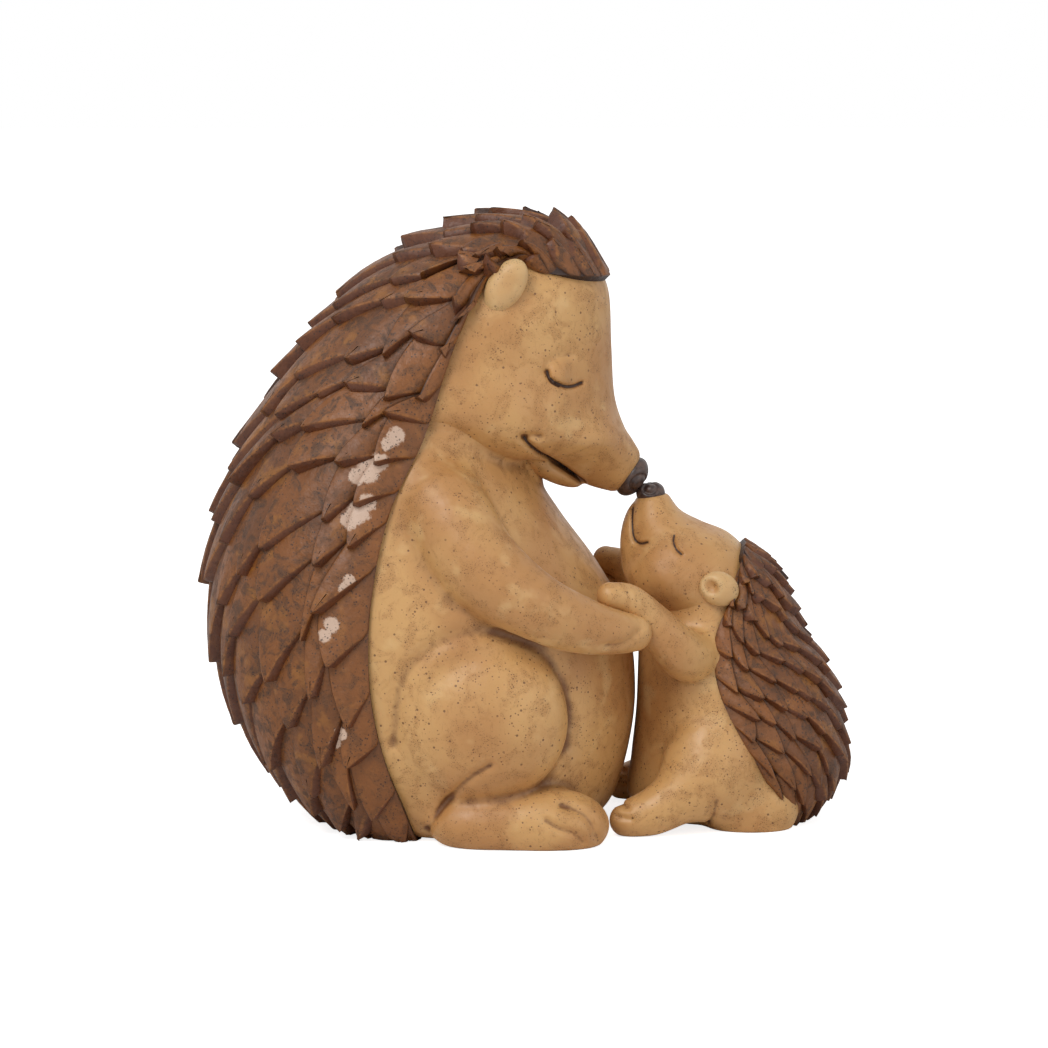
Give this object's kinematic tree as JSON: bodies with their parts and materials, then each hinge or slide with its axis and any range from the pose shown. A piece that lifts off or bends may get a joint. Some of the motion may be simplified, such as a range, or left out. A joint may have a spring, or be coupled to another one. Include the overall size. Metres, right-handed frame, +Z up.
{
  "type": "hedgehog figurine",
  "caption": "Ornament of a mother hedgehog who sits and bends nose to nose with her baby, paws joined, each with a coat of overlapping carved quills, on a flat underside.",
  "frame": {"origin": "on the surface that the pair sits on, under the middle of their overall length, in the plane of symmetry", "axes": "+X from the mother to the baby, +Y to the mother's left, +Z up"},
  "size_m": [0.1613, 0.0972, 0.1523],
  "materials": {
    "tan_resin": "cast polyresin, tan wash with dark speckles, satin",
    "brown_resin": "cast polyresin, brown wash, dark in the hollows and rubbed on the edges, satin",
    "dark_nose": "painted dark brown, slightly glossy"
  },
  "bodies": {
    "root": {"mother_torso": "tan_resin", "mother_head": "tan_resin", "mother_lower_jaw": "tan_resin", "mother_right_ear": "tan_resin", "mother_left_ear": "tan_resin", "mother_right_eyelid": "tan_resin", "mother_left_eyelid": "tan_resin", "mother_right_arm": "tan_resin", "mother_left_arm": "tan_resin", "mother_right_haunch": "tan_resin", "mother_left_haunch": "tan_resin", "mother_right_foot": "tan_resin", "mother_left_foot": "tan_resin", "baby_torso": "tan_resin", "baby_head": "tan_resin", "baby_lower_jaw": "tan_resin", "baby_left_ear": "tan_resin", "baby_right_ear": "tan_resin", "baby_left_eyelid": "tan_resin", "baby_right_eyelid": "tan_resin", "baby_left_arm": "tan_resin", "baby_right_arm": "tan_resin", "baby_left_haunch": "tan_resin", "baby_right_haunch": "tan_resin", "baby_left_foot": "tan_resin", "baby_right_foot": "tan_resin", "mother_quill_coat": "brown_resin", "baby_quill_coat": "brown_resin", "mother_nose": "dark_nose", "baby_nose": "dark_nose"}
  },
  "joints": []
}
